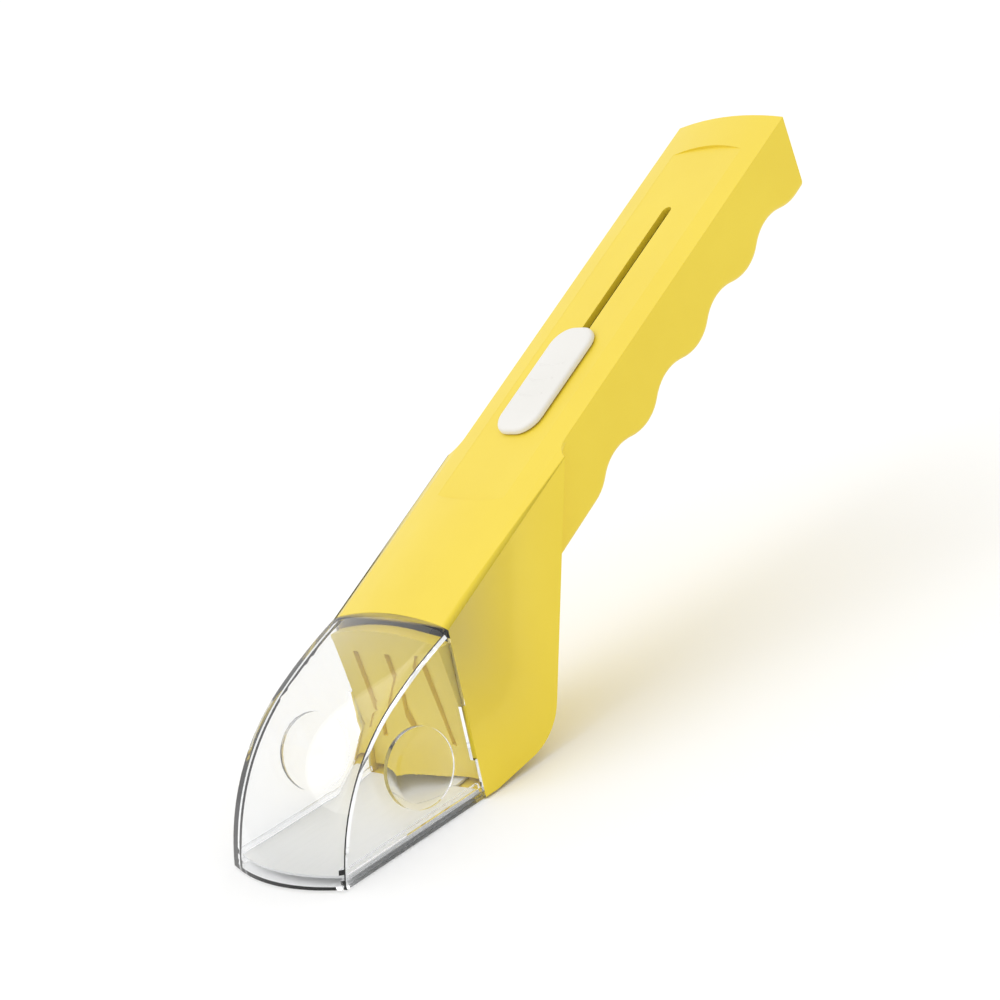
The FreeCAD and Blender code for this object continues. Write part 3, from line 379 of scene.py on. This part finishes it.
def cover_screws():
    """Four pan heads with a cross recess, sunk in the grip from below."""
    growth = Growth(
        "cover_screws",
        {"Head Radius": 2.3, "Head Height": 1.5, "Recess Width": 0.55, "Recess Depth": 0.9, "Shank": 1.1},
    )
    size = growth.given
    height = size["Head Height"]
    head = growth.node(
        "GeometryNodeMeshCone",
        [
            ("Vertices", 40),
            ("Side Segments", 3),
            ("Fill Segments", 1),
            ("Radius Bottom", growth.times(size["Head Radius"], 0.84)),
            ("Radius Top", size["Head Radius"]),
            ("Depth", height),
        ],
    ).outputs["Mesh"]
    blade = growth.node(
        "GeometryNodeMeshCube",
        [
            (
                "Size",
                growth.vector(
                    growth.times(size["Head Radius"], 1.15),
                    size["Recess Width"],
                    growth.times(size["Recess Depth"], 2.0),
                ),
            )
        ],
    ).outputs["Mesh"]
    crossed = growth.node(
        "GeometryNodeTransform", [("Geometry", blade), ("Rotation", (0.0, 0.0, math.pi / 2))]
    ).outputs[0]
    cut = growth.node("GeometryNodeMeshBoolean", [("Mesh 1", head)], operation="DIFFERENCE")
    for cutter in (blade, crossed):
        growth.tree.links.new(cutter, cut.inputs["Mesh 2"])
    shank = growth.node(
        "GeometryNodeMeshCone",
        [
            ("Vertices", 20),
            ("Side Segments", 1),
            ("Radius Bottom", size["Shank"]),
            ("Radius Top", growth.times(size["Shank"], 0.55)),
            ("Depth", 11.0),
        ],
    ).outputs["Mesh"]
    raised = growth.node(
        "GeometryNodeTransform",
        [("Geometry", shank), ("Translation", growth.vector(z=growth.times(height, 0.98)))],
    ).outputs[0]
    placed = growth.node(
        "GeometryNodeInstanceOnPoints",
        [("Points", size["Geometry"]), ("Instance", growth.joined(cut.outputs[0], raised))],
    ).outputs[0]
    growth.close(placed, steel)
    spots = bpy.data.meshes.new("screw_spots")
    spots.from_pydata(
        [(side * s, run, -15.1) for side, run in ((13.9, 54.2), (12.6, 151.0)) for s in (-1, 1)], [], []
    )
    return growth.mesh(spots)


def rounded_outline(half_width, low, high, corner, steps=10):
    """Points round a rounded oblong, in the handle's plane."""
    points = []
    for quarter, (x, y) in enumerate(
        (
            (half_width - corner, high - corner),
            (-half_width + corner, high - corner),
            (-half_width + corner, low + corner),
            (half_width - corner, low + corner),
        )
    ):
        for step in range(steps + 1):
            turn = math.pi / 2 * (quarter + step / steps)
            points.append((x + corner * math.cos(turn), y + corner * math.sin(turn)))
    return points


def crowned_button():
    """The thumb button's body: upright rim, soft shoulder and a gently crowned top."""
    work = bmesh.new()
    rings = []
    for inset, rise in (
        (0.35, 2.0),
        (0.0, 2.2),
        (0.0, 2.75),
        (0.10, 3.10),
        (0.35, 3.38),
        (0.80, 3.58),
        (1.60, 3.74),
        (3.00, 3.88),
        (4.80, 3.97),
        (6.60, 4.00),
    ):
        outline = rounded_outline(7.4 - inset, 57.3 + inset, 91.5 - inset, max(5.8 - inset, 0.5))
        rings.append([work.verts.new((x, y, rise)) for x, y in outline])
    for low, high in zip(rings, rings[1:]):
        for index in range(len(low)):
            after = (index + 1) % len(low)
            work.faces.new((low[index], low[after], high[after], high[index]))
    work.faces.new(list(reversed(rings[0])))
    work.faces.new(rings[-1])
    mesh = bpy.data.meshes.new("button_body")
    work.to_mesh(mesh)
    work.free()
    return mesh


def thumb_button():
    """The crowned button with its row of low cross ridges."""
    growth = Growth("button_ridges", {"First": 68.6, "Pitch": 4.9, "Half Length": 4.4, "Ridge Radius": 0.42})
    size = growth.given
    arc = growth.node(
        "GeometryNodeCurveQuadraticBezier",
        [
            ("Resolution", 14),
            ("Start", growth.vector(growth.times(size["Half Length"], -1.0), 0.5)),
            ("Middle", growth.vector(0.0, -1.1, 0.22)),
            ("End", growth.vector(size["Half Length"], 0.5)),
        ],
    ).outputs[0]
    profile = growth.node(
        "GeometryNodeCurvePrimitiveCircle", [("Resolution", 12), ("Radius", size["Ridge Radius"])]
    ).outputs[0]
    ridge = growth.node(
        "GeometryNodeCurveToMesh", [("Curve", arc), ("Profile Curve", profile), ("Fill Caps", True)]
    ).outputs[0]
    row = growth.node(
        "GeometryNodeMeshLine",
        [
            ("Count", 3),
            ("Start Location", growth.vector(-0.6, size["First"], 3.58)),
            ("Offset", growth.vector(0.0, size["Pitch"], 0.0)),
        ],
    ).outputs[0]
    ridges = growth.node(
        "GeometryNodeInstanceOnPoints", [("Points", row), ("Instance", ridge)]
    ).outputs[0]
    growth.close(growth.joined(size["Geometry"], ridges), white)
    return growth.mesh(crowned_button())


def door_sheet_mesh():
    """The door's front stretch, cut across its length so that it can shorten evenly."""
    mesh = merged("door_panel")
    work = bmesh.new()
    work.from_mesh(mesh)
    for step in range(1, 9):
        bmesh.ops.bisect_plane(
            work,
            geom=work.verts[:] + work.edges[:] + work.faces[:],
            plane_co=(0.0, -0.0048 * step, 0.0),
            plane_no=(0.0, 1.0, 0.0),
        )
    work.to_mesh(mesh)
    work.free()
    return mesh


chamber_mesh = joined([merged("chamber"), grown_lens("lens_left"), grown_lens("lens_right")], "chamber")
finish_mesh(chamber_mesh, 24.0)
adopt(
    "clear_chamber", chamber_mesh, clear, "housing", "clear_plastic", "chamber", "lens_left", "lens_right"
)

shell_mesh = rounded(joined([merged("grip_shell"), merged("top_cover")], "shell"), 0.0010, 26.0)
adopt("grip_and_cover", shell_mesh, yellow, "housing", "yellow_plastic", "grip_shell", "top_cover")

button_mesh = thumb_button()
finish_mesh(button_mesh, 50.0)
adopt("thumb_button_crowned", button_mesh, white, "slider", "white_plastic", "thumb_button")

screws_mesh = cover_screws()
finish_mesh(screws_mesh, 30.0)
adopt(
    "cover_screws",
    screws_mesh,
    steel,
    "housing",
    "screw_steel",
    "cover_screw_front_left",
    "cover_screw_front_right",
    "cover_screw_rear_left",
    "cover_screw_rear_right",
)

door_mesh = door_sheet_mesh()
finish_mesh(door_mesh, 30.0)
door = adopt("door_front", door_mesh, sheet, "door", "door_sheet", "door_panel")
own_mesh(door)

for node, part in frame["nodes"].items():
    if part.hide_render:
        continue
    slot = [s["material_slot"] for s in frame["record"]["subparts"] if s["node"] == node][0]
    choice = {
        "yellow_plastic": yellow,
        "white_plastic": white,
        "door_sheet": sheet,
        "black_plastic": slot_shade_black,
        "screw_steel": steel,
    }[slot]
    for index in range(max(1, len(part.material_slots))):
        if len(part.material_slots) == 0:
            part.data.materials.append(choice)
        else:
            part.material_slots[index].material = choice


# ---------------------------------------------------------------- floor, light and camera


def floor():
    mesh = bpy.data.meshes.new("floor")
    work = bmesh.new()
    bmesh.ops.create_circle(work, cap_ends=True, segments=96, radius=14.0)
    work.to_mesh(mesh)
    work.free()
    plane = bpy.data.objects.new("floor", mesh)
    plane.location.z = -0.0006
    bpy.context.scene.collection.objects.link(plane)
    finish = Finish("pale floor")
    tone = finish.noise(3.0, 2.0, 0.5)
    finish.link(
        finish.blend_colours(tone, (0.93, 0.93, 0.93, 1.0), (0.95, 0.95, 0.95, 1.0)),
        finish.shader.inputs["Base Color"],
    )
    finish.set(Roughness=0.9)
    mesh.materials.append(finish.material)


def soft_sun(name, direction, strength, spread_degrees):
    light = bpy.data.lights.new(name, "SUN")
    light.energy = strength
    light.angle = math.radians(spread_degrees)
    lamp = bpy.data.objects.new(name, light)
    bpy.context.scene.collection.objects.link(lamp)
    lamp.rotation_euler = Vector(direction).to_track_quat("-Z", "Y").to_euler()
    return lamp


def studio():
    """A bright room with one broad soft light from the front and above."""
    world = bpy.data.worlds.new("studio")
    bpy.context.scene.world = world
    world.use_nodes = True
    world.node_tree.nodes["Background"].inputs["Color"].default_value = (1.0, 1.0, 1.0, 1.0)
    world.node_tree.nodes["Background"].inputs["Strength"].default_value = 0.92
    soft_sun("key_light", (0.35, 0.45, -1.0), 0.75, 60.0)


def camera():
    """Looks along the tool from its right front, tipped over to its side."""
    azimuth = math.radians(54.22)
    elevation = math.radians(16.32)
    roll = math.radians(19.09)
    right = Vector((math.cos(azimuth), math.sin(azimuth), 0.0))
    look = Vector(
        (
            -math.sin(azimuth) * math.cos(elevation),
            math.cos(azimuth) * math.cos(elevation),
            -math.sin(elevation),
        )
    )
    up = right.cross(look)
    aim = right * 0.03852 + up * 0.05850
    data = bpy.data.cameras.new("camera")
    data.sensor_width = 36.0
    data.lens = 102.6
    data.clip_start = 0.05
    data.clip_end = 60.0
    lens = bpy.data.objects.new("camera", data)
    bpy.context.scene.collection.objects.link(lens)
    across = right * math.cos(roll) - up * math.sin(roll)
    upward = right * math.sin(roll) + up * math.cos(roll)
    turn = Matrix((across, upward, -look)).transposed()
    lens.matrix_world = Matrix.Translation(aim - look * 0.674) @ turn.to_4x4()
    bpy.context.scene.camera = lens
    bpy.context.scene.view_settings.view_transform = "Standard"


floor()
studio()
camera()
